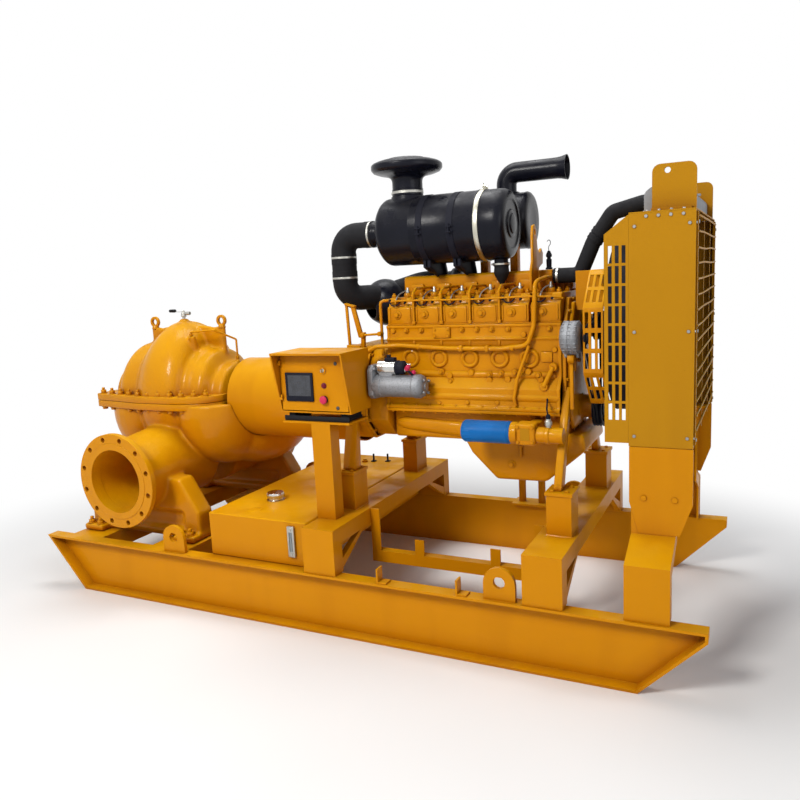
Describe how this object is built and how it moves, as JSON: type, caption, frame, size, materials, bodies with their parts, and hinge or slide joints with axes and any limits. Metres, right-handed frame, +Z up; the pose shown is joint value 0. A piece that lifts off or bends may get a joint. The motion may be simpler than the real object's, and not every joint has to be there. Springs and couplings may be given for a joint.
{
  "type": "diesel-driven split case pump set on a sledge skid",
  "caption": "Double-suction split case pump driven by an in-line diesel engine, with radiator, fuel tank and control panel, on a steel sledge skid.",
  "frame": {"origin": "middle of the footprint, on the floor", "axes": "+X along the skid from the pump to the radiator, +Y across it away from the control panel, +Z up"},
  "size_m": [3.6, 1.46, 2.2743],
  "materials": {
    "yellow_paint": "golden yellow gloss enamel",
    "radiator_paint": "darker yellow satin paint",
    "black_paint": "black semi-gloss",
    "black_rubber": "moulded rubber",
    "bright_steel": "machined",
    "chrome": "polished",
    "cast_aluminium": "as cast",
    "filter_blue": "gloss paint",
    "radiator_grey": "dull grey",
    "display_glass": "dark display",
    "signal_red": "moulded red"
  },
  "bodies": {
    "pump_set": {"near_rail": "yellow_paint", "far_rail": "yellow_paint", "end_beam": "yellow_paint", "pump_beam": "yellow_paint", "battery_bar": "yellow_paint", "rear_frame": "yellow_paint", "front_frame": "yellow_paint", "fuel_tank": "yellow_paint", "fuel_filler_cap": "chrome", "fuel_level_gauge": "bright_steel", "pump_lower_casing": "yellow_paint", "pump_upper_casing": "yellow_paint", "bearing_cover": "yellow_paint", "pump_shaft": "bright_steel", "coupling_guard": "yellow_paint", "flush_tube": "yellow_paint", "vent_cock": "bright_steel", "bell_housing": "yellow_paint", "engine_block": "yellow_paint", "cylinder_heads": "yellow_paint", "intake_manifold": "yellow_paint", "exhaust_manifold": "yellow_paint", "turbocharger": "cast_aluminium", "oil_pan": "yellow_paint", "timing_cover": "yellow_paint", "crank_pulley": "black_paint", "pulley_guard": "yellow_paint", "starter_motor": "cast_aluminium", "alternator": "cast_aluminium", "oil_filter": "filter_blue", "oil_filter_head": "yellow_paint", "air_cleaner": "black_paint", "pre_cleaner": "black_paint", "dust_valve": "black_rubber", "intake_elbow": "black_rubber", "exhaust_silencer": "black_paint", "upper_hose": "black_rubber", "radiator_side_near": "radiator_paint", "radiator_side_far": "radiator_paint", "radiator_top": "radiator_paint", "radiator_core": "radiator_grey", "radiator_top_tank": "radiator_grey", "radiator_grille": "radiator_paint", "fan_guard": "radiator_paint", "radiator_bracket_near": "yellow_paint", "radiator_bracket_far": "yellow_paint", "control_box": "yellow_paint", "control_post": "yellow_paint", "panel_buffer_left": "black_rubber", "panel_buffer_right": "black_rubber"},
    "panel_door": {"control_door": "yellow_paint", "control_display": "display_glass", "warning_lamp": "signal_red"},
    "key": {"key_switch": "black_paint"},
    "stop": {"stop_button": "signal_red"},
    "vent_lever": {"vent_cock_lever": "black_paint"},
    "fan_rotor": {"fan": "black_paint"}
  },
  "joints": [
    {"name": "door_hinge", "type": "hinge", "parent": "pump_set", "child": "panel_door", "pos_m": [-0.182, -0.564, 1.2], "axis": [0, 0, -1], "range_deg": [0, 90]},
    {"name": "key_turn", "type": "hinge", "parent": "panel_door", "child": "key", "pos_m": [0.06, -0.554, 1.267], "axis": [0, -1, 0], "range_deg": [0, 90]},
    {"name": "stop_push", "type": "slide", "parent": "panel_door", "child": "stop", "axis": [0, 1, 0], "range_m": [0, 0.005]},
    {"name": "vent_turn", "type": "hinge", "parent": "pump_set", "child": "vent_lever", "pos_m": [-1.266, 0, 1.544], "axis": [0, 0, 1], "range_deg": [0, 90]},
    {"name": "fan_spin", "type": "hinge", "parent": "pump_set", "child": "fan_rotor", "pos_m": [1.42, 0, 1.42], "axis": [1, 0, 0], "continuous": true}
  ]
}
